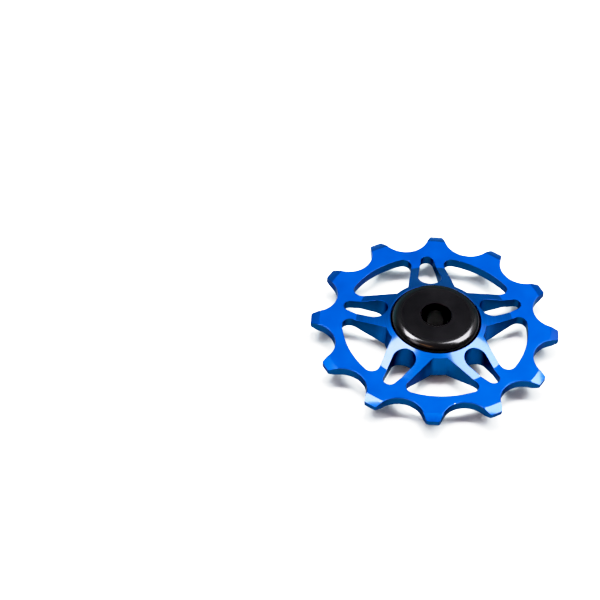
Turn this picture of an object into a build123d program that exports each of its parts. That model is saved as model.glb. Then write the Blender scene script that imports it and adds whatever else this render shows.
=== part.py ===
from build123d import *
from math import asin, cos, pi, radians, sin, tan
import os

# Derailleur jockey wheel, lying flat: its axis is +Z, its middle plane is Z = 0 and one tooth points
# along +X. The toothed wheel turns on a sealed ball bearing. The bearing's inner race, the axle sleeve
# and the two caps stand still with the bolt. All sizes are in millimetres and angles in degrees.

# Chain
chain_pitch = 12.7
roller_diameter = 7.75

# Teeth
tooth_count = 12
root_relief = 0.06
seat_radius = 4.9
flank_angle = 54.0
tip_addendum = 0.32
tip_corner_radius = 0.4
tip_bevel_length = 1.75
tip_thickness = 1.0

# Ring and hub
ring_thickness = 2.1
rim_width = 1.95
cone_run_out = 2.85
hub_width = 5.66
edge_break = 0.15

# Spokes, each split by a tapered slot into two legs
spoke_count = 5
spoke_phase = 24.0
spoke_leg_width = 1.7
slot_rim_width = 1.8
slot_hub_wall = 0.68
slot_inner_radius = 2.35
slot_outer_radius = 1.3
window_hub_wall = 1.05
window_outer_fillet = 1.6
window_inner_fillet = 0.6

# Sealed ball bearing
bearing_bore = 8.0
bearing_diameter = 16.0
bearing_width = 5.0
bearing_stand_out = 0.4
ball_count = 10
ball_diameter = 2.0
ball_clearance = 0.03
groove_relief = 0.04
shoulder_gap = 1.4
race_chamfer = 0.2
seal_thickness = 0.35
seal_inset = 0.25
seal_seat_width = 0.4
seal_lip_gap = 0.08
cage_wall = 1.0
cage_base = 0.5
cage_finger = 0.45
pocket_clearance = 0.05

# Caps and axle sleeve
overall_width = 8.3
cap_skirt_gap = 0.35
cap_skirt_wall = 0.65
cap_running_gap = 0.15
cap_rim_drop = 0.09
cap_shoulder_angle = 75.0
cap_hole_clearance = 1.0
cap_hole_chamfer = 0.1
cap_floor_gap = 0.2
cap_race_gap = 0.4
boss_inset = 0.15
bolt_diameter = 5.0
bolt_clearance = 0.1
sleeve_seat_depth = 0.45
sleeve_chamfer = 0.2
fit_gap = 0.01

# Radii of the toothed ring, from the chain inwards
pitch_radius = chain_pitch / (2 * sin(pi / tooth_count))
root_radius = pitch_radius - roller_diameter / 2 - root_relief
tip_radius = pitch_radius + tip_addendum
window_outer_radius = root_radius - rim_width
cone_start_radius = window_outer_radius - cone_run_out

# Heights above the middle plane
ring_half = ring_thickness / 2
hub_half = hub_width / 2
bearing_half = bearing_width / 2
cap_top = overall_width / 2
recess_floor = bearing_half - bearing_stand_out
sleeve_half = bearing_half + sleeve_seat_depth

# Radii of the hub and its bearing seat
skirt_radius = bearing_diameter / 2 + cap_skirt_gap
cap_radius = skirt_radius + cap_skirt_wall
recess_radius = cap_radius + cap_running_gap
bearing_seat_radius = bearing_diameter / 2 + fit_gap
window_inner_radius = recess_radius + window_hub_wall

os.makedirs("parts", exist_ok=True)


# Gap between two teeth: a round seat for the chain's roller that runs out into straight flanks
seat_centre = root_radius + seat_radius
flank = radians(flank_angle)
flank_start = Vector(seat_centre - seat_radius * cos(flank), seat_radius * sin(flank))
flank_end = flank_start + Vector(sin(flank), cos(flank)) * seat_radius
with BuildSketch() as tooth_gap:
    with BuildLine():
        seat = ThreePointArc((flank_start.X, -flank_start.Y), (root_radius, 0), flank_start)
        Polyline(seat @ 1, flank_end, (flank_end.X, -flank_end.Y), seat @ 0)
    make_face()

# Tapered slot along a spoke, wide towards the hub
slot_inner_centre = recess_radius + slot_hub_wall + slot_inner_radius
slot_outer_centre = root_radius - slot_rim_width - slot_outer_radius
with BuildSketch() as spoke_slot:
    with Locations((slot_inner_centre, 0)):
        Circle(slot_inner_radius)
    with Locations((slot_outer_centre, 0)):
        Circle(slot_outer_radius)
    make_hull()

# Spoke: its two legs keep the same width beside the slot, so its sides taper as the slot does
slot_taper = asin((slot_inner_radius - slot_outer_radius) / (slot_outer_centre - slot_inner_centre))
side_distance = slot_inner_radius + spoke_leg_width + slot_inner_centre * sin(slot_taper)
spoke_half_at_axis = side_distance / cos(slot_taper)
spoke_half_at_rim = spoke_half_at_axis - window_outer_radius * tan(slot_taper)
with BuildSketch() as spoke:
    with BuildLine():
        Polyline(
            (0, spoke_half_at_axis),
            (window_outer_radius, spoke_half_at_rim),
            (window_outer_radius, -spoke_half_at_rim),
            (0, -spoke_half_at_axis),
            close=True,
        )
    make_face()

# Windows: what the spokes leave of the band between the hub and the rim
with BuildSketch() as spoke_windows:
    Circle(window_outer_radius)
    Circle(window_inner_radius, mode=Mode.SUBTRACT)
    with PolarLocations(0, spoke_count, start_angle=spoke_phase):
        add(spoke.sketch, mode=Mode.SUBTRACT)
    corners = spoke_windows.vertices().group_by(SortBy.DISTANCE)
    fillet(corners[-1], window_outer_fillet)
    fillet(corners[0], window_inner_fillet)

# Toothed wheel: a toothed ring with bevelled tips around a turned hub, pierced by the slots and windows
tip_slope = (ring_thickness - tip_thickness) / 2 / tip_bevel_length
tip_overrun = tip_corner_radius
with BuildPart() as toothed_wheel:
    with BuildSketch() as toothed_ring:
        Circle(tip_radius)
        with PolarLocations(0, tooth_count, start_angle=180 / tooth_count):
            add(tooth_gap.sketch, mode=Mode.SUBTRACT)
        fillet(toothed_ring.vertices().group_by(SortBy.DISTANCE)[-1], tip_corner_radius)
        Circle(recess_radius, mode=Mode.SUBTRACT)
    extrude(amount=ring_half, both=True)
    ring_faces = toothed_wheel.faces().filter_by(Axis.Z)
    chamfer(ring_faces.wires().group_by(SortBy.LENGTH)[-1].edges(), edge_break)
    with BuildSketch(Plane.XZ):
        with BuildLine():
            Polyline(
                (tip_radius - tip_bevel_length, ring_half),
                (tip_radius + tip_overrun, ring_half),
                (tip_radius + tip_overrun, tip_thickness / 2 - tip_slope * tip_overrun),
                close=True,
            )
        make_face()
        mirror(about=Plane.XZ)
    revolve(axis=Axis.Z, mode=Mode.SUBTRACT)
    with BuildSketch(Plane.XZ):
        with BuildLine():
            Polyline(
                (bearing_seat_radius, 0),
                (bearing_seat_radius, recess_floor),
                (recess_radius, recess_floor),
                (recess_radius, hub_half),
                (cone_start_radius, ring_half),
                (cone_start_radius, 0),
                close=True,
            )
        make_face()
        mirror(about=Plane.XZ)
    revolve(axis=Axis.Z)
    with BuildSketch():
        with PolarLocations(0, spoke_count, start_angle=spoke_phase):
            add(spoke_slot.sketch)
        add(spoke_windows.sketch)
    extrude(amount=hub_half, both=True, mode=Mode.SUBTRACT)
toothed_wheel.part.label = "toothed_wheel"
export_step(toothed_wheel.part, "parts/toothed_wheel.step")

# Bearing races, each turned with a round groove for the balls and a step for each seal
ball_radius = ball_diameter / 2
groove_radius = ball_radius + groove_relief
ball_pitch_radius = (bearing_bore + bearing_diameter) / 4
inner_shoulder = ball_pitch_radius - shoulder_gap / 2
outer_shoulder = ball_pitch_radius + shoulder_gap / 2
inner_groove_centre = ball_pitch_radius - ball_radius - ball_clearance + groove_radius
outer_groove_centre = ball_pitch_radius + ball_radius + ball_clearance - groove_radius
seal_seat_radius = outer_shoulder + seal_seat_width
seal_top = bearing_half - seal_inset
seal_floor = seal_top - seal_thickness

with BuildPart() as bearing_inner_race:
    with BuildSketch(Plane.XZ) as inner_section:
        with Locations(((bearing_bore / 2 + inner_shoulder) / 2, 0)):
            Rectangle(inner_shoulder - bearing_bore / 2, bearing_width)
        chamfer(inner_section.vertices().group_by(Axis.X)[0], race_chamfer)
        with Locations((inner_groove_centre, 0)):
            Circle(groove_radius, mode=Mode.SUBTRACT)
    revolve(axis=Axis.Z)
bearing_inner_race.part.label = "bearing_inner_race"
export_step(bearing_inner_race.part, "parts/bearing_inner_race.step")

with BuildPart() as bearing_outer_race:
    with BuildSketch(Plane.XZ) as outer_section:
        with BuildLine():
            Polyline(
                (outer_shoulder, 0),
                (outer_shoulder, seal_floor),
                (seal_seat_radius, seal_floor),
                (seal_seat_radius, bearing_half),
                (bearing_diameter / 2, bearing_half),
                (bearing_diameter / 2, 0),
                close=True,
            )
        make_face()
        mirror(about=Plane.XZ)
        chamfer(outer_section.vertices().group_by(Axis.X)[-1], race_chamfer)
        with Locations((outer_groove_centre, 0)):
            Circle(groove_radius, mode=Mode.SUBTRACT)
    revolve(axis=Axis.Z)
bearing_outer_race.part.label = "bearing_outer_race"
export_step(bearing_outer_race.part, "parts/bearing_outer_race.step")

# Seals: flat rings that sit on the outer race's steps and stop just short of the inner race
with BuildPart() as upper_seal:
    with BuildSketch(Plane.XY.offset(seal_floor)):
        Circle(seal_seat_radius - fit_gap)
        Circle(inner_shoulder + seal_lip_gap, mode=Mode.SUBTRACT)
    extrude(amount=seal_thickness)
upper_seal.part.label = "upper_seal"
export_step(upper_seal.part, "parts/upper_seal.step")

with BuildPart() as lower_seal:
    mirror(upper_seal.part, about=Plane.XY)
lower_seal.part.label = "lower_seal"
export_step(lower_seal.part, "parts/lower_seal.step")

# Ball cage: a crown whose round pockets close a little past the balls' middle, so they snap in
pocket_radius = ball_radius + pocket_clearance
with BuildPart() as ball_cage:
    with BuildSketch(Plane.XY.offset(-pocket_radius - cage_base)):
        Circle(ball_pitch_radius + cage_wall / 2)
        Circle(ball_pitch_radius - cage_wall / 2, mode=Mode.SUBTRACT)
    extrude(amount=pocket_radius + cage_base + cage_finger)
    with PolarLocations(ball_pitch_radius, ball_count):
        Sphere(pocket_radius, mode=Mode.SUBTRACT)
ball_cage.part.label = "ball_cage"
export_step(ball_cage.part, "parts/ball_cage.step")

for number, place in enumerate(PolarLocations(ball_pitch_radius, ball_count), start=1):
    with BuildPart() as ball:
        with Locations(place.position):
            Sphere(ball_radius)
    ball.part.label = f"ball_{number:02d}"
    export_step(ball.part, f"parts/{ball.part.label}.step")

# Axle sleeve: the tube that the bolt passes through and the inner race sits on
sleeve_radius = bearing_bore / 2 - fit_gap
with BuildPart() as axle_sleeve:
    with BuildSketch(Plane.XY.offset(-sleeve_half)):
        Circle(sleeve_radius)
        Circle((bolt_diameter + bolt_clearance) / 2, mode=Mode.SUBTRACT)
    extrude(amount=2 * sleeve_half)
    bore_rims = axle_sleeve.edges().filter_by(GeomType.CIRCLE).group_by(SortBy.RADIUS)[0]
    chamfer(bore_rims, sleeve_chamfer)
axle_sleeve.part.label = "axle_sleeve"
export_step(axle_sleeve.part, "parts/axle_sleeve.step")

# Caps: a boss clamps the inner race, a skirt turns down into the hub's recess around the bearing
cap_hole_radius = (bolt_diameter + cap_hole_clearance) / 2
cap_seat_radius = sleeve_radius + fit_gap
boss_radius = inner_shoulder - boss_inset
skirt_foot = recess_floor + cap_floor_gap
pocket_roof = bearing_half + cap_race_gap
rim_top = hub_half - cap_rim_drop
shoulder_turn = radians(cap_shoulder_angle)
shoulder_radius = (cap_top - rim_top) / (1 - cos(shoulder_turn))
shoulder_start = cap_radius - shoulder_radius * sin(shoulder_turn)
with BuildPart() as upper_cap:
    with BuildSketch(Plane.XZ) as cap_section:
        with BuildLine():
            Polyline(
                (shoulder_start, cap_top),
                (cap_hole_radius, cap_top),
                (cap_hole_radius, sleeve_half),
                (cap_seat_radius, sleeve_half),
                (cap_seat_radius, bearing_half),
                (boss_radius, bearing_half),
                (boss_radius, pocket_roof),
                (skirt_radius, pocket_roof),
                (skirt_radius, skirt_foot),
                (cap_radius, skirt_foot),
                (cap_radius, rim_top),
            )
            JernArc((shoulder_start, cap_top), (1, 0), shoulder_radius, -cap_shoulder_angle)
        make_face()
        chamfer(cap_section.vertices().group_by(Axis.Y)[-1].sort_by(Axis.X)[0], cap_hole_chamfer)
    revolve(axis=Axis.Z)
upper_cap.part.label = "upper_cap"
export_step(upper_cap.part, "parts/upper_cap.step")

with BuildPart() as lower_cap:
    mirror(upper_cap.part, about=Plane.XY)
lower_cap.part.label = "lower_cap"
export_step(lower_cap.part, "parts/lower_cap.step")
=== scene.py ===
"""Looks of a derailleur jockey wheel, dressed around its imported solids.

The wheel lies flat on a pale floor, on its lower cap. Its axis is +Z, its middle plane is Z = 0 and
one tooth points along +X. Lengths named in millimetres are turned into metres where they are used.
"""

import logging
import math
from dataclasses import dataclass, field
from enum import Enum
from typing import Union

import bpy
from mathutils import Matrix, Vector


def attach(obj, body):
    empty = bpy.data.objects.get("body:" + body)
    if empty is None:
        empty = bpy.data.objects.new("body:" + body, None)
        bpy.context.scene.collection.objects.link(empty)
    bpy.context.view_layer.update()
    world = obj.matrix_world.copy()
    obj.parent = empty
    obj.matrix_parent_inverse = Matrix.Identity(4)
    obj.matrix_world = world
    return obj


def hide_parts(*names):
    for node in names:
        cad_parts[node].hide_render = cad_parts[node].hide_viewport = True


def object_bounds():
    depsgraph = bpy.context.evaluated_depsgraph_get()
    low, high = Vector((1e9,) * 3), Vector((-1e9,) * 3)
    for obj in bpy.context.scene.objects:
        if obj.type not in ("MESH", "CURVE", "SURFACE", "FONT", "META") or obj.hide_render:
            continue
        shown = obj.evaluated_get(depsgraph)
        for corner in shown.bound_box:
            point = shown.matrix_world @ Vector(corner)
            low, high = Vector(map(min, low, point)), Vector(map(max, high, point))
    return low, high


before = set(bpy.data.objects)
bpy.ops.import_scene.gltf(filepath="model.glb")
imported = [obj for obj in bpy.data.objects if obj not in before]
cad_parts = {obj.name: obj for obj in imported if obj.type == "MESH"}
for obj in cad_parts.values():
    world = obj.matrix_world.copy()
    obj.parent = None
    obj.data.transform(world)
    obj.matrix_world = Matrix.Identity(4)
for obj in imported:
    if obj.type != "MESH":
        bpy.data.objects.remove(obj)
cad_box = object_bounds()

MM = 0.001
# A Mix node's sockets for colours, and the tone curve that all three channels share
MIX_SHARE, MIX_FIRST, MIX_SECOND, MIX_RESULT = 0, 6, 7, 2
JOINT_CURVE = 3
# The parts of a noise that are spread out into a finish's two tones, and into bare chips
TONE_RANGE = (0.32, 0.68)
CHIP_SCALE, CHIP_RANGE = 1400.0, (0.71, 0.76)
Colour = tuple[float, float, float]
Feed = Union[float, Colour, bpy.types.NodeSocket]
log = logging.getLogger("jockey_wheel")


class Grain(Enum):
    """How a surface was worked, which decides the pattern on it."""

    BLASTED = "blasted_grain"
    TURNED = "turned_lines"
    MILLED = "milled_streaks"
    MOULDED = "moulded_skin"


class WheelFace(Enum):
    """The kinds of face on the toothed wheel, in the order of its material slots."""

    RING = 0
    TURNED = 1
    WALL = 2
    EDGE = 3


class NodeBoard:
    """Adds and joins the nodes of one material or node group."""

    def __init__(self, tree: bpy.types.NodeTree) -> None:
        """Starts with an empty board on the tree."""
        self.tree = tree
        tree.nodes.clear()

    def add(self, kind: str, **settings: object) -> bpy.types.Node:
        """Adds a node.

        Args:
            kind: The node's type name.
            settings: Properties to set on it.

        Returns:
            The new node.
        """
        node = self.tree.nodes.new(kind)
        for name, value in settings.items():
            setattr(node, name, value)
        return node

    def feed(self, socket: bpy.types.NodeSocket, value: Feed) -> None:
        """Joins a socket to a socket, or sets it to a constant.

        Args:
            socket: The input.
            value: An output socket, a number, a colour or a vector.
        """
        if isinstance(value, bpy.types.NodeSocket):
            self.tree.links.new(value, socket)
        elif socket.type == "RGBA":
            socket.default_value = (*value, 1.0)
        else:
            socket.default_value = value

    def math(self, operation: str, *values: Feed) -> bpy.types.NodeSocket:
        """Works out one number.

        Args:
            operation: The Math node's operation.
            values: Its inputs, in order.

        Returns:
            The output socket.
        """
        node = self.add("ShaderNodeMath", operation=operation)
        for socket, value in zip(node.inputs, values):
            self.feed(socket, value)
        return node.outputs[0]

    def noise(
        self, place: Feed, scale: Feed, detail: float, rough: float = 0.5, along: bool = False
    ) -> bpy.types.NodeSocket:
        """Reads noise in space, or along one measure.

        Args:
            place: The position, or the measure.
            scale: Features per unit of it.
            detail: Octaves of finer noise.
            rough: The weight of the finer octaves.
            along: Whether the place is one measure.

        Returns:
            The noise value, about 0 to 1.
        """
        node = self.add("ShaderNodeTexNoise", noise_dimensions="1D" if along else "3D")
        given = {"W" if along else "Vector": place, "Scale": scale, "Detail": detail, "Roughness": rough}
        for name, value in given.items():
            self.feed(node.inputs[name], value)
        return node.outputs["Fac"]

    def spread(
        self, value: Feed, low: float, high: float, to_low: Feed = 0.0, to_high: Feed = 1.0
    ) -> bpy.types.NodeSocket:
        """Stretches a range of values onto another, clamped at its ends.

        Args:
            value: The value.
            low: The start of its range.
            high: The end of its range.
            to_low: What the start becomes.
            to_high: What the end becomes.

        Returns:
            The stretched value.
        """
        node = self.add("ShaderNodeMapRange", clamp=True)
        names = ("Value", "From Min", "From Max", "To Min", "To Max")
        for name, given in zip(names, (value, low, high, to_low, to_high)):
            self.feed(node.inputs[name], given)
        return node.outputs["Result"]

    def radius(self, place: Feed) -> bpy.types.NodeSocket:
        """Measures how far a place is from the upright axis.

        Args:
            place: The place's coordinates.

        Returns:
            The radius.
        """
        level = self.add("ShaderNodeVectorMath", operation="MULTIPLY")
        self.feed(level.inputs[0], place)
        level.inputs[1].default_value = (1.0, 1.0, 0.0)
        reach = self.add("ShaderNodeVectorMath", operation="LENGTH")
        self.feed(reach.inputs[0], level.outputs["Vector"])
        return reach.outputs["Value"]

    def blend(self, share: Feed, first: Feed, second: Feed) -> bpy.types.NodeSocket:
        """Mixes two colours.

        Args:
            share: How much of the second, 0 to 1.
            first: The first colour.
            second: The second colour.

        Returns:
            The mixed colour.
        """
        node = self.add("ShaderNodeMix", data_type="RGBA")
        self.feed(node.inputs[MIX_SHARE], share)
        self.feed(node.inputs[MIX_FIRST], first)
        self.feed(node.inputs[MIX_SECOND], second)
        return node.outputs[MIX_RESULT]


@dataclass
class EffectLibrary:
    """The node groups that the finishes share. Each is built once, when it is first asked for."""

    built: dict[str, bpy.types.NodeTree] = field(default_factory=dict)

    def group(self, name: str) -> bpy.types.NodeTree:
        """Gives a group, building it if need be.

        Args:
            name: The value of a Grain, or handling_marks.

        Returns:
            The node group.
        """
        if name not in self.built:
            self.built[name] = getattr(self, name)()
        return self.built[name]

    def start(
        self, name: str, outputs: tuple[str, ...], sized: bool = True
    ) -> tuple[bpy.types.NodeTree, NodeBoard, bpy.types.bpy_prop_collection, bpy.types.Node]:
        """Starts a group that takes a Position, and a Size if it is sized.

        Args:
            name: The group's name.
            outputs: The names of its value outputs.
            sized: Whether it takes the size of its grain.

        Returns:
            The tree, its board, what it is given and its output node.
        """
        tree = bpy.data.node_groups.new(name, "ShaderNodeTree")
        tree.interface.new_socket("Position", in_out="INPUT", socket_type="NodeSocketVector")
        if sized:
            tree.interface.new_socket("Size", in_out="INPUT", socket_type="NodeSocketFloat")
        for socket in outputs:
            tree.interface.new_socket(socket, in_out="OUTPUT", socket_type="NodeSocketFloat")
        board = NodeBoard(tree)
        return tree, board, board.add("NodeGroupInput").outputs, board.add("NodeGroupOutput")

    def turned_lines(self) -> bpy.types.NodeTree:
        """Builds the rings that a lathe tool leaves, fine and in wider bands."""
        rise_share, drift_scale, drift_share = 0.6, 90.0, 0.8
        band_scale, band_share, tone_share = 0.23, 0.5, 0.67
        tree, board, given, out = self.start("turned_lines", ("Height", "Tone"))
        parts = board.add("ShaderNodeSeparateXYZ")
        board.feed(parts.inputs[0], given["Position"])
        climb = board.math("MULTIPLY_ADD", parts.outputs["Z"], rise_share, board.radius(given["Position"]))
        drift = board.noise(given["Position"], drift_scale, 1.0)
        track = board.math("DIVIDE", climb, given["Size"])
        track = board.math("MULTIPLY_ADD", drift, drift_share, track)
        fine = board.noise(track, 1.0, 4.0, 0.7, along=True)
        bands = board.noise(track, band_scale, 2.0, along=True)
        rings = board.math("MULTIPLY_ADD", bands, band_share, fine)
        board.feed(out.inputs["Height"], rings)
        board.feed(out.inputs["Tone"], board.math("MULTIPLY", rings, tone_share))
        return tree

    def blasted_grain(self) -> bpy.types.NodeTree:
        """Builds the even pits of a blasted face under a faint mottle."""
        mottle_scale, mottle_share, pit_share = 0.03, 0.7, 0.3
        tree, board, given, out = self.start("blasted_grain", ("Height", "Tone"))
        pits = board.noise(given["Position"], board.math("DIVIDE", 1.0, given["Size"]), 2.0, 0.6)
        mottle = board.noise(given["Position"], board.math("DIVIDE", mottle_scale, given["Size"]), 3.0)
        tone = board.math("MULTIPLY_ADD", pits, pit_share, board.math("MULTIPLY", mottle, mottle_share))
        board.feed(out.inputs["Height"], pits)
        board.feed(out.inputs["Tone"], tone)
        return tree

    def milled_streaks(self) -> bpy.types.NodeTree:
        """Builds the upright streaks of a side-milled wall, crossed by faint feed lines."""
        streak_squash = (1.0, 1.0, 0.05)
        broad_scale, broad_share, streak_share = 0.2, 0.6, 0.4
        line_scale, line_share = 1.5, 0.35
        tree, board, given, out = self.start("milled_streaks", ("Height", "Tone"))
        flatten = board.add("ShaderNodeVectorMath", operation="MULTIPLY")
        board.feed(flatten.inputs[0], given["Position"])
        flatten.inputs[1].default_value = streak_squash
        streaks = board.noise(flatten.outputs[0], board.math("DIVIDE", 1.0, given["Size"]), 3.0, 0.6)
        broad = board.noise(flatten.outputs[0], board.math("DIVIDE", broad_scale, given["Size"]), 2.0)
        parts = board.add("ShaderNodeSeparateXYZ")
        board.feed(parts.inputs[0], given["Position"])
        line_pitch = board.math("DIVIDE", line_scale, given["Size"])
        lines = board.noise(parts.outputs["Z"], line_pitch, 2.0, along=True)
        tone = board.math("MULTIPLY_ADD", broad, broad_share, board.math("MULTIPLY", streaks, streak_share))
        board.feed(out.inputs["Height"], board.math("MULTIPLY_ADD", lines, line_share, streaks))
        board.feed(out.inputs["Tone"], tone)
        return tree

    def moulded_skin(self) -> bpy.types.NodeTree:
        """Builds the slow waviness of a polished or moulded skin."""
        cloud_scale = 0.5
        tree, board, given, out = self.start("moulded_skin", ("Height", "Tone"))
        waves = board.noise(given["Position"], board.math("DIVIDE", 1.0, given["Size"]), 1.0)
        cloud = board.noise(given["Position"], board.math("DIVIDE", cloud_scale, given["Size"]), 4.0, 0.6)
        board.feed(out.inputs["Height"], waves)
        board.feed(out.inputs["Tone"], cloud)
        return tree

    def handling_marks(self) -> bpy.types.NodeTree:
        """Builds what handling leaves: soft smudges and hair-fine scratches that lie two ways."""
        smudge_scale, smudge_range = 210.0, (0.48, 0.72)
        hair_turns, hair_tilt = (0.5, 2.3), (0.3, 0.2)
        hair_scale, hair_range = (260.0, 9000.0, 3000.0), (0.70, 0.74)
        tree, board, given, out = self.start("handling_marks", ("Smudge", "Scratch"), sized=False)
        cloud = board.noise(given["Position"], smudge_scale, 4.0, 0.6)
        board.feed(out.inputs["Smudge"], board.spread(cloud, *smudge_range))
        hairs = []
        for turn in hair_turns:
            lay = board.add("ShaderNodeMapping")
            board.feed(lay.inputs["Vector"], given["Position"])
            lay.inputs["Rotation"].default_value = (*hair_tilt, turn)
            lay.inputs["Scale"].default_value = hair_scale
            hairs.append(board.spread(board.noise(lay.outputs[0], 1.0, 2.0), *hair_range))
        board.feed(out.inputs["Scratch"], board.math("MAXIMUM", *hairs))
        return tree


@dataclass(frozen=True)
class Zone:
    """The outer part of a finish, past a radius from the axle, where its colour and gloss change."""

    start_mm: float
    full_mm: float
    colour: Colour
    rough: float


@dataclass(frozen=True)
class Finish:
    """One finish: two tones of colour that its grain mixes, its gloss and its relief."""

    name: str
    grain: Grain
    grain_mm: float
    deep: Colour
    pale: Colour
    metallic: float
    rough_low: float
    rough_high: float
    relief_mm: float
    coat: float = 0.0
    coat_rough: float = 0.1
    coat_ior: float = 1.5
    ior: float = 1.5
    graze: Colour = (1.0, 1.0, 1.0)
    smudge: float = 0.06
    scratch: float = 0.1
    zones: tuple[Zone, ...] = ()
    bare: Colour = (0.75, 0.76, 0.78)
    bare_share: float = 0.0
    bounce: Colour | None = None

    def material(self, effects: EffectLibrary) -> bpy.types.Material:
        """Makes the finish's material.

        Args:
            effects: The shared node groups.

        Returns:
            The material.
        """
        made = bpy.data.materials.new(self.name)
        made.use_nodes = True
        made.diffuse_color = (*self.pale, 1.0)
        board = NodeBoard(made.node_tree)
        place = board.add("ShaderNodeTexCoord").outputs["Object"]
        worked = board.add("ShaderNodeGroup", node_tree=effects.group(self.grain.value))
        board.feed(worked.inputs["Position"], place)
        board.feed(worked.inputs["Size"], self.grain_mm * MM)
        marks = board.add("ShaderNodeGroup", node_tree=effects.group("handling_marks"))
        board.feed(marks.inputs["Position"], place)
        shader = board.add("ShaderNodeBsdfPrincipled")
        tone = board.spread(worked.outputs["Tone"], *TONE_RANGE)
        colour = board.blend(tone, self.deep, self.pale)
        rough = board.spread(tone, 0.0, 1.0, self.rough_low, self.rough_high)
        # Past a zone's radius the colour and roughness change; on the caps and the walls this is painted
        # sheen and shade.
        for zone in self.zones:
            share = board.spread(board.radius(place), zone.start_mm * MM, zone.full_mm * MM)
            colour = board.blend(share, colour, zone.colour)
            rough = board.spread(share, 0.0, 1.0, rough, zone.rough)
        if self.bare_share:
            chips = board.noise(place, CHIP_SCALE, 3.0, 0.65)
            worn = board.spread(chips, *CHIP_RANGE, 0.0, self.bare_share)
            colour = board.blend(worn, colour, self.bare)
        if self.bounce:
            path = board.add("ShaderNodeLightPath")
            colour = board.blend(path.outputs["Is Diffuse Ray"], colour, self.bounce)
        rough = board.math("MULTIPLY_ADD", marks.outputs["Smudge"], self.smudge, rough)
        rough = board.math("MULTIPLY_ADD", marks.outputs["Scratch"], self.scratch, rough)
        bump = board.add("ShaderNodeBump")
        bump.inputs["Strength"].default_value = 1.0
        bump.inputs["Distance"].default_value = self.relief_mm * MM
        board.feed(bump.inputs["Height"], worked.outputs["Height"])
        board.feed(shader.inputs["Base Color"], colour)
        board.feed(shader.inputs["Roughness"], rough)
        board.feed(shader.inputs["Normal"], bump.outputs["Normal"])
        shader.inputs["Metallic"].default_value = self.metallic
        shader.inputs["IOR"].default_value = self.ior
        shader.inputs["Coat Weight"].default_value = self.coat
        shader.inputs["Coat Roughness"].default_value = self.coat_rough
        shader.inputs["Coat IOR"].default_value = self.coat_ior
        shader.inputs["Specular Tint"].default_value = (*self.graze, 1.0)
        out = board.add("ShaderNodeOutputMaterial")
        board.feed(out.inputs["Surface"], shader.outputs["BSDF"])
        return made


# What the blue turns to at a graze, on faces and on walls, and what it throws onto the floor
DYE: Colour = (0.30, 0.53, 0.80)
DEEP_DYE: Colour = (0.30, 0.42, 0.50)
DIM: Colour = (0.065, 0.085, 0.115)
RING_BLUE = Finish(
    "ring_blue", Grain.BLASTED, 0.12, (0.0, 0.054, 0.345), (0.0, 0.063, 0.395), 1.0, 0.42, 0.48, 0.003,
    coat=0.08, coat_rough=0.28, coat_ior=1.6, smudge=0.04, scratch=0.05, graze=DYE, bounce=DIM,
)
TURNED_BLUE = Finish(
    "turned_blue", Grain.TURNED, 0.16, (0.0, 0.031, 0.16), (0.0, 0.047, 0.245), 1.0, 0.40, 0.46, 0.0016,
    coat=0.48, coat_rough=0.09, coat_ior=1.6, smudge=0.04, scratch=0.03, graze=DYE, bounce=DIM,
    zones=(Zone(20.0, 22.0, (0.0, 0.043, 0.265), 0.43),),
)
# The upright walls get a darker blue than the faces: partly their milled finish, partly painted shade. Past
# 10.8 mm from the axle, the walls of the legs, windows and teeth turn darker still, painted shade, while the
# hub's barrel keeps the lighter blue.
WALL_BLUE_WITH_PAINTED_SHADE = Finish(
    "wall_blue_with_painted_shade", Grain.MILLED, 0.22, (0.0, 0.027, 0.104), (0.0, 0.035, 0.132), 1.0, 0.30, 0.36, 0.0008,
    coat=0.03, coat_rough=0.3, coat_ior=1.5, smudge=0.04, scratch=0.05, graze=DEEP_DYE, bounce=DIM,
    zones=(Zone(10.8, 12.2, (0.0, 0.019, 0.064), 0.34),),
)
EDGE_BLUE = Finish(
    "edge_blue", Grain.BLASTED, 0.35, (0.0, 0.046, 0.28), (0.002, 0.060, 0.35), 1.0, 0.34, 0.40, 0.002,
    coat=0.15, coat_rough=0.2, coat_ior=1.6, smudge=0.04, scratch=0.05, graze=DYE, bounce=DIM, bare_share=0.7,
)
# The caps' black changes with the radius, as painted sheen and shade: a dark satin flat face, then from 6.9
# mm a brighter, glossier shoulder that carries the lamps' highlights, and past 8.55 mm a near-black rim that
# keeps the floor's reflection off the steep rim. A faint red in both offsets the cool light they mirror.
CAP_BLACK_WITH_PAINTED_SHEEN_AND_SHADE = Finish(
    "cap_black_with_painted_sheen_and_shade", Grain.MOULDED, 3.0, (0.0125, 0.011, 0.0125), (0.0148, 0.013, 0.0148), 0.955, 0.30, 0.34,
    0.0015, smudge=0.03, scratch=0.03, graze=(0.2, 0.2, 0.2),
    zones=(Zone(6.9, 7.3, (0.048, 0.044, 0.047), 0.15), Zone(8.55, 8.85, (0.008, 0.008, 0.008), 0.30)),
)
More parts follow.
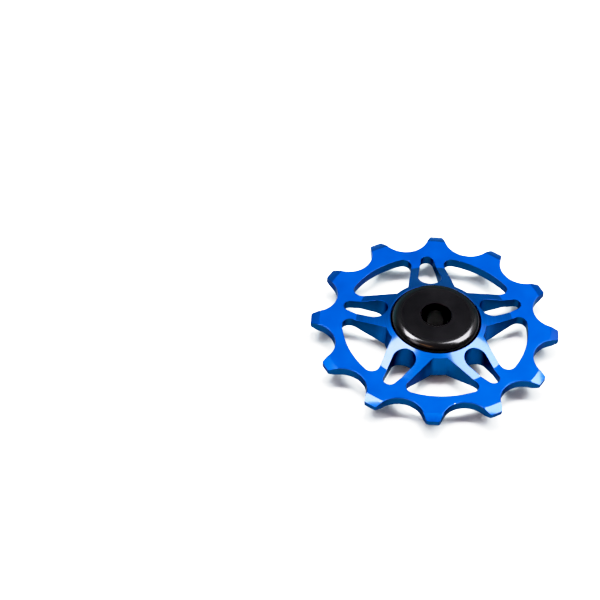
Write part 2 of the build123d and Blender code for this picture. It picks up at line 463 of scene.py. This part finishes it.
# The sleeve is near black, darker than the caps: partly black metal, partly painted shade that keeps the bore
# through the caps black.
SLEEVE_DARK = Finish(
    "sleeve_dark", Grain.TURNED, 0.12, (0.003, 0.003, 0.003), (0.008, 0.008, 0.008), 1.0, 0.26, 0.36, 0.004,
)
RACE_STEEL = Finish(
    "race_steel", Grain.TURNED, 0.06, (0.48, 0.48, 0.49), (0.62, 0.62, 0.63), 1.0, 0.14, 0.24, 0.001,
)
SEAL_RUBBER = Finish(
    "seal_skin", Grain.TURNED, 0.3, (0.010, 0.010, 0.011), (0.022, 0.022, 0.023), 0.0, 0.5, 0.62, 0.003,
)
CAGE_NYLON = Finish(
    "cage_moulding", Grain.MOULDED, 0.5, (0.58, 0.53, 0.42), (0.68, 0.63, 0.51), 0.0, 0.42, 0.52, 0.003,
)
BALL_CERAMIC = Finish(
    "ceramic_gloss", Grain.MOULDED, 0.3, (0.055, 0.055, 0.060), (0.085, 0.085, 0.090), 0.0, 0.06, 0.1, 0.0002,
    ior=2.0,
)


def dress(node: bpy.types.Object, material: bpy.types.Material) -> None:
    """Gives a CAD node its one material.

    Args:
        node: The node's object.
        material: The material.
    """
    node.data.materials.clear()
    node.data.materials.append(material)
    log.info("dressed %s with %s", node.name, material.name)


@dataclass
class ToothedWheel:
    """The blue wheel: teeth, ring, split spokes and hub in one piece. Sizes are in millimetres."""

    node: str = "toothed_wheel"
    body: str = "wheel"
    slot: str = "blue_anodised"
    edge_break: float = 0.06
    rim_radius: float = 19.5
    edge_steps: int = 2
    break_angle: float = 50.0
    ring_half: float = 1.05
    hub_half: float = 2.83
    cone_start_radius: float = 15.80
    tip_bevel_length: float = 1.75
    tip_bevel_drop: float = 0.55
    tip_radius: float = 24.855
    tip_crown: float = 5.0
    recess_radius: float = 9.15
    near: float = 0.03
    weld: float = 0.0005
    flat_angle: float = 0.3
    level_rise: float = 0.99
    slope_rise: float = 0.9
    wall_rise: float = 0.5
    own_weight: float = 0.001

    def build(self, effects: EffectLibrary) -> bpy.types.Object:
        """Breaks the edges of a copy of the wheel and dresses it.

        Args:
            effects: The shared node groups.

        Returns:
            The finished piece.
        """
        piece = self.merged_copy()
        for finish in (RING_BLUE, TURNED_BLUE, WALL_BLUE_WITH_PAINTED_SHADE, EDGE_BLUE):
            piece.data.materials.append(finish.material(effects))
        self.break_edges(piece)
        self.sort_faces(piece)
        self.smooth(piece)
        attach(piece, self.body)
        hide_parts(self.node)
        log.info("built %s: %d faces", piece.name, len(piece.data.polygons))
        return piece

    def merged_copy(self) -> bpy.types.Object:
        """Copies the wheel's mesh, joins its loose triangles and dissolves what is flat.

        Returns:
            The copy, active and alone in the selection.
        """
        bpy.ops.object.select_all(action="DESELECT")
        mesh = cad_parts[self.node].data.copy()
        mesh.materials.clear()
        piece = bpy.data.objects.new("wheel_broken_edges", mesh)
        bpy.context.scene.collection.objects.link(piece)
        piece.select_set(True)
        bpy.context.view_layer.objects.active = piece
        bpy.ops.mesh.customdata_custom_splitnormals_clear()
        bpy.ops.object.mode_set(mode="EDIT")
        bpy.ops.mesh.select_all(action="SELECT")
        bpy.ops.mesh.remove_doubles(threshold=self.weld * MM)
        bpy.ops.mesh.dissolve_limited(angle_limit=math.radians(self.flat_angle))
        bpy.ops.object.mode_set(mode="OBJECT")
        return piece

    def break_edges(self, piece: bpy.types.Object) -> None:
        """Rounds the sharp outer edges of the windows, slots and hub.

        Args:
            piece: The merged copy.
        """
        mesh = piece.data
        sharp = self.sharp_edges(mesh)
        for part in (mesh.vertices, mesh.edges, mesh.polygons):
            part.foreach_set("select", [False] * len(part))
        for index in sharp:
            mesh.edges[index].select = True
        bpy.context.tool_settings.mesh_select_mode = (False, True, False)
        bpy.ops.object.mode_set(mode="EDIT")
        bpy.ops.mesh.bevel(
            offset_type="OFFSET", offset=self.edge_break * MM, segments=self.edge_steps, profile=0.5,
            affect="EDGES", clamp_overlap=False, loop_slide=False, material=WheelFace.EDGE.value,
        )
        bpy.ops.object.mode_set(mode="OBJECT")
        log.info("broke %d edges of %s", len(sharp), piece.name)

    def sharp_edges(self, mesh: bpy.types.Mesh) -> list[int]:
        """Finds the edges to break: those that stand out and turn by more than break_angle.

        Args:
            mesh: The wheel's mesh.

        Returns:
            The edges' indices.
        """
        beside: dict[int, list[tuple[int, Vector]]] = {}
        for face in mesh.polygons:
            for loop in face.loop_indices:
                corner = mesh.loops[loop]
                edge = mesh.edges[corner.edge_index]
                ends = [mesh.vertices[v].co for v in edge.vertices]
                run = ends[1] - ends[0] if edge.vertices[0] == corner.vertex_index else ends[0] - ends[1]
                beside.setdefault(edge.index, []).append((face.index, face.normal.cross(run)))
        limit = math.cos(math.radians(self.break_angle))
        found = []
        for index, sides in beside.items():
            if len(sides) != 2:
                continue
            (first, _), (second, inward) = sides
            normal = mesh.polygons[first].normal
            stands_out = normal.dot(mesh.polygons[second].normal) < limit and inward.dot(normal) < 0
            ends = [mesh.vertices[v].co for v in mesh.edges[index].vertices]
            if stands_out and max(math.hypot(end.x, end.y) for end in ends) < self.rim_radius * MM:
                found.append(index)
        return found

    def sort_faces(self, piece: bpy.types.Object) -> None:
        """Puts each face in the material slot of its kind.

        Args:
            piece: The piece with its edges broken.
        """
        for face in piece.data.polygons:
            if face.material_index != WheelFace.EDGE.value:
                face.material_index = self.kind_of(face).value

    def kind_of(self, face: bpy.types.MeshPolygon) -> WheelFace:
        """Tells a face's kind from its place and its slope.

        Args:
            face: The face.

        Returns:
            Its kind.
        """
        radius = math.hypot(face.center.x, face.center.y) / MM
        rise = abs(face.normal.z)
        if rise > self.level_rise and abs(abs(face.center.z) / MM - self.ring_half) < self.near:
            return WheelFace.RING
        if radius < self.recess_radius + self.near:
            return WheelFace.TURNED
        # Upright faces take the wall blue, whose darker colour is partly painted shade.
        if rise < self.wall_rise:
            return WheelFace.WALL
        if rise < self.slope_rise:
            return WheelFace.EDGE
        return WheelFace.TURNED

    def smooth(self, piece: bpy.types.Object) -> None:
        """Shades each face by its true form: flats flat, turned faces as cones, walls and edges rounded.

        Args:
            piece: The sorted piece.
        """
        bpy.ops.object.shade_smooth()
        mesh = piece.data
        tops: dict[int, Vector] = {}
        walls: dict[int, list[Vector]] = {}
        strips: dict[int, Vector] = {}
        for face in mesh.polygons:
            kind = WheelFace(face.material_index)
            for vertex in face.vertices:
                if kind is WheelFace.WALL:
                    walls.setdefault(vertex, []).append(face.normal.copy())
                elif kind is WheelFace.EDGE:
                    strips[vertex] = strips.get(vertex, Vector()) + face.normal * face.area
                else:
                    tops[vertex] = self.turned_normal(face, mesh.vertices[vertex].co)
        normals = [Vector((0.0, 0.0, 1.0))] * len(mesh.loops)
        for face in mesh.polygons:
            kind = WheelFace(face.material_index)
            for loop in face.loop_indices:
                vertex = mesh.loops[loop].vertex_index
                if kind is WheelFace.WALL:
                    normals[loop] = self.drum_normal(face.normal, walls[vertex])
                elif kind is not WheelFace.EDGE:
                    normals[loop] = self.turned_normal(face, mesh.vertices[vertex].co)
                elif vertex in tops:
                    normals[loop] = tops[vertex]
                elif vertex in walls:
                    normals[loop] = self.drum_normal(face.normal, walls[vertex])
                else:
                    normals[loop] = strips[vertex].normalized()
        mesh.normals_split_custom_set(normals)

    def turned_normal(self, face: bpy.types.MeshPolygon, point: Vector) -> Vector:
        """Gives a turned face's normal at a point: its slope there, headed along the point's radius.

        Args:
            face: The face.
            point: One of its corners.

        Returns:
            The normal.
        """
        rise = max(-1.0, min(1.0, face.normal.z))
        if self.slope_rise < abs(rise) < self.level_rise:
            if math.hypot(face.center.x, face.center.y) > self.cone_start_radius * MM:
                along = (math.hypot(point.x, point.y) / MM - self.tip_radius) / self.tip_bevel_length + 1.0
                slope = math.atan2(self.tip_bevel_drop, self.tip_bevel_length)
                slope += math.radians(self.tip_crown) * (2.0 * max(0.0, min(1.0, along)) - 1.0)
            else:
                run = self.cone_start_radius - self.recess_radius
                slope = math.atan2(self.hub_half - self.ring_half, run)
            rise = math.copysign(math.cos(slope), rise)
        heading = Vector((point.x, point.y, 0.0)).normalized()
        reach = math.sqrt(1.0 - rise * rise)
        outward = face.normal.x * face.center.x + face.normal.y * face.center.y
        return heading * (reach if outward > 0.0 else -reach) + Vector((0.0, 0.0, rise))

    def drum_normal(self, normal: Vector, beside: list[Vector]) -> Vector:
        """Averages a wall's normal with those beside it that turn little from it.

        Args:
            normal: The wall's own normal.
            beside: The normals of the walls that meet at a corner.

        Returns:
            The average.
        """
        limit = math.cos(math.radians(self.break_angle))
        alike = (other for other in beside if other.dot(normal) > limit)
        return sum(alike, normal * self.own_weight).normalized()


@dataclass
class AxleAndCaps:
    """The parts that stand still with the bolt: two gloss black caps and the sleeve between them."""

    caps: tuple[str, ...] = ("upper_cap", "lower_cap")
    sleeve: str = "axle_sleeve"

    def dress(self, effects: EffectLibrary) -> None:
        """Dresses the caps and the sleeve."""
        black = CAP_BLACK_WITH_PAINTED_SHEEN_AND_SHADE.material(effects)
        for cap in self.caps:
            dress(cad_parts[cap], black)
        dress(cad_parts[self.sleeve], SLEEVE_DARK.material(effects))


@dataclass
class SealedBearing:
    """The ball bearing inside the hub: races, seals, cage and balls."""

    races: tuple[str, ...] = ("bearing_inner_race", "bearing_outer_race")
    seals: tuple[str, ...] = ("upper_seal", "lower_seal")
    cage: str = "ball_cage"
    ball_count: int = 10

    def dress(self, effects: EffectLibrary) -> None:
        """Dresses each part of the bearing."""
        balls = tuple(f"ball_{number:02d}" for number in range(1, self.ball_count + 1))
        for names, finish in (
            (self.races, RACE_STEEL),
            (self.seals, SEAL_RUBBER),
            ((self.cage,), CAGE_NYLON),
            (balls, BALL_CERAMIC),
        ):
            material = finish.material(effects)
            for name in names:
                dress(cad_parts[name], material)


@dataclass(frozen=True)
class SoftBox:
    """A flat soft lamp that faces the wheel. Angles are in degrees and lengths in metres."""

    name: str
    azimuth: float
    elevation: float
    width: float
    height: float
    radiance: float
    tint: Colour = (1.0, 1.0, 1.0)
    distance: float = 0.7
    roll: float = 0.0
    mirrored: bool = True

    def hang(self) -> bpy.types.Object:
        """Hangs the lamp at its distance from the wheel, facing it and rolled from level.

        Returns:
            The light's object.
        """
        turn, climb = math.radians(self.azimuth), math.radians(self.elevation)
        away = Vector((math.cos(turn) * math.cos(climb), math.sin(turn) * math.cos(climb), math.sin(climb)))
        facing = away.to_track_quat("Z", "Y").to_matrix() @ Matrix.Rotation(math.radians(self.roll), 3, "Z")
        bpy.ops.object.light_add(type="AREA", location=away * self.distance, rotation=facing.to_euler())
        lamp = bpy.context.object
        lamp.name = self.name
        lamp.data.shape = "RECTANGLE"
        lamp.data.size = self.width
        lamp.data.size_y = self.height
        lamp.data.color = self.tint
        lamp.data.energy = self.radiance * math.pi * self.width * self.height
        lamp.visible_glossy = self.mirrored
        return lamp


@dataclass
class Studio:
    """Floor, lamps and camera. Lengths are in metres and angles in degrees."""

    floor_size: float = 6.0
    floor_tone: Colour = (0.80, 0.80, 0.807)
    floor_rough: float = 0.8
    floor_shine: float = 0.2
    floor_glow_span: tuple[float, float] = (0.15, 0.9)
    backdrop_light: float = 2.4
    room_tone: Colour = (0.22, 0.9, 1.0)
    wall_light: float = 1.25
    wall_span: tuple[float, float] = (0.2, 0.75)
    wall_foot: float = 0.15
    wall_fade: float = -5.0
    wall_lean: float = -0.8
    room_light: float = 0.065
    black_level: float = 0.005
    white_level: float = 2.2
    tone_curve: tuple[tuple[float, float], ...] = ((0.1, 0.22), (0.2, 0.435), (0.41, 0.81), (0.64, 0.945))
    camera_place: tuple[float, float, float] = (-0.027297, -0.373973, 0.412976)
    camera_pitch: float = 47.467
    camera_roll: float = 4.424
    camera_turn: float = -0.677
    lens: float = 166.98
    sensor: float = 36.0
    lamps: tuple[SoftBox, ...] = (
        SoftBox("lamp_left", 159.7, 64.5, 0.43, 0.185, 27.0, (0.93, 1.0, 1.0), roll=-23.5),
        SoftBox("lamp_right", 24.3, 57.3, 0.52, 0.29, 21.0, (0.93, 1.0, 1.0), roll=25.5),
        SoftBox("card_left", 215.0, 45.0, 0.20, 0.20, 4.0),
        SoftBox("lamp_above", 90.0, 90.0, 8.0, 8.0, 0.25, (0.68, 0.60, 1.0), distance=2.0, mirrored=False),
        SoftBox("lamp_shadow", 90.0, 80.0, 0.3, 0.3, 92.0, (1.0, 0.97, 0.97), distance=1.2, mirrored=False),
        SoftBox("card_right", 30.0, 35.0, 0.50, 0.30, 0.7),
        SoftBox("card_warm", 247.0, 55.0, 0.24, 0.06, 6.0, (1.0, 0.50, 0.20)),
    )

    def set_up(self, floor_height: float) -> None:
        """Makes the floor, the lamps, the room's light, the camera and the picture's tones.

        Args:
            floor_height: The height on which the wheel stands.
        """
        self.lay_floor(floor_height)
        for lamp in self.lamps:
            lamp.hang()
            log.info("hung %s", lamp.name)
        self.light_room()
        self.place_camera()
        self.set_tones()

    def set_tones(self) -> None:
        """Sets the picture's levels and tone curve."""
        view = bpy.context.scene.view_settings
        view.view_transform = "Standard"
        view.use_curve_mapping = True
        levels = view.curve_mapping
        levels.black_level = (self.black_level,) * 3
        levels.white_level = (self.white_level,) * 3
        for point in self.tone_curve:
            levels.curves[JOINT_CURVE].points.new(*point)
        levels.update()

    def lay_floor(self, height: float) -> None:
        """Lays the pale floor.

        It shows only from above, and glows white far off, where the lamps don't reach.

        Args:
            height: Its height.
        """
        bpy.ops.object.select_all(action="DESELECT")
        bpy.ops.mesh.primitive_plane_add(size=self.floor_size, location=(0.0, 0.0, height))
        floor = bpy.context.object
        floor.name = "floor"
        made = bpy.data.materials.new("pale_floor")
        made.use_nodes = True
        board = NodeBoard(made.node_tree)
        shader = board.add("ShaderNodeBsdfPrincipled")
        board.feed(shader.inputs["Base Color"], self.floor_tone)
        shader.inputs["Roughness"].default_value = self.floor_rough
        shader.inputs["Specular IOR Level"].default_value = self.floor_shine
        span = board.radius(board.add("ShaderNodeTexCoord").outputs["Object"])
        far = board.spread(span, *self.floor_glow_span)
        board.feed(shader.inputs["Emission Color"], board.blend(far, (0.0, 0.0, 0.0), (1.0, 1.0, 1.0)))
        shader.inputs["Emission Strength"].default_value = self.backdrop_light
        clear = board.add("ShaderNodeBsdfTransparent")
        side = board.add("ShaderNodeMixShader")
        board.feed(side.inputs[0], board.add("ShaderNodeNewGeometry").outputs["Backfacing"])
        board.feed(side.inputs[1], shader.outputs[0])
        board.feed(side.inputs[2], clear.outputs[0])
        board.feed(board.add("ShaderNodeOutputMaterial").inputs["Surface"], side.outputs[0])
        floor.data.materials.append(made)
        log.info("laid the floor at %.2f mm", height / MM)

    def light_room(self) -> None:
        """Fills the room: a cool wall behind that fades upwards, grey light and a plain white backdrop."""
        world = bpy.data.worlds.new("studio")
        world.use_nodes = True
        board = NodeBoard(world.node_tree)
        glow = board.add("ShaderNodeBackground")
        board.feed(glow.inputs["Color"], self.room_tone)
        grey = board.add("ShaderNodeBackground")
        board.feed(grey.inputs["Color"], (1.0, 1.0, 1.0))
        board.feed(grey.inputs["Strength"], self.room_light)
        parts = board.add("ShaderNodeSeparateXYZ")
        board.feed(parts.inputs[0], board.add("ShaderNodeTexCoord").outputs["Generated"])
        rise = board.math("MAXIMUM", board.math("SUBTRACT", parts.outputs["Z"], self.wall_foot), 0.0)
        fade = board.math("EXPONENT", board.math("MULTIPLY", rise, self.wall_fade))
        behind = board.spread(parts.outputs["Y"], *self.wall_span, 0.0, self.wall_light)
        lean = board.math("MULTIPLY_ADD", parts.outputs["X"], self.wall_lean, 1.0)
        wall = board.math("MULTIPLY", board.math("MULTIPLY", fade, behind), lean)
        board.feed(glow.inputs["Strength"], wall)
        both = board.add("ShaderNodeAddShader")
        board.feed(both.inputs[0], glow.outputs[0])
        board.feed(both.inputs[1], grey.outputs[0])
        white = board.add("ShaderNodeBackground")
        board.feed(white.inputs["Color"], (1.0, 1.0, 1.0))
        board.feed(white.inputs["Strength"], self.backdrop_light)
        seen = board.add("ShaderNodeMixShader")
        board.feed(seen.inputs[0], board.add("ShaderNodeLightPath").outputs["Is Camera Ray"])
        board.feed(seen.inputs[1], both.outputs[0])
        board.feed(seen.inputs[2], white.outputs[0])
        board.feed(board.add("ShaderNodeOutputWorld").inputs["Surface"], seen.outputs[0])
        bpy.context.scene.world = world

    def place_camera(self) -> None:
        """Sets the camera where the photograph was taken from."""
        lens = bpy.data.cameras.new("camera")
        lens.lens = self.lens
        lens.sensor_width = self.sensor
        camera = bpy.data.objects.new("camera", lens)
        bpy.context.scene.collection.objects.link(camera)
        camera.matrix_world = (
            Matrix.Rotation(math.radians(self.camera_turn), 4, "Z")
            @ Matrix.Translation(self.camera_place)
            @ Matrix.Rotation(math.radians(90.0 - self.camera_pitch), 4, "X")
            @ Matrix.Rotation(math.radians(self.camera_roll), 4, "Z")
        )
        bpy.context.scene.camera = camera


def main() -> None:
    """Builds and dresses each sub-assembly in order, then the studio."""
    logging.basicConfig(level=logging.INFO, format="%(message)s")
    effects = EffectLibrary()
    ToothedWheel().build(effects)
    AxleAndCaps().dress(effects)
    SealedBearing().dress(effects)
    Studio().set_up(cad_box[0].z)


if __name__ == "__main__":
    main()
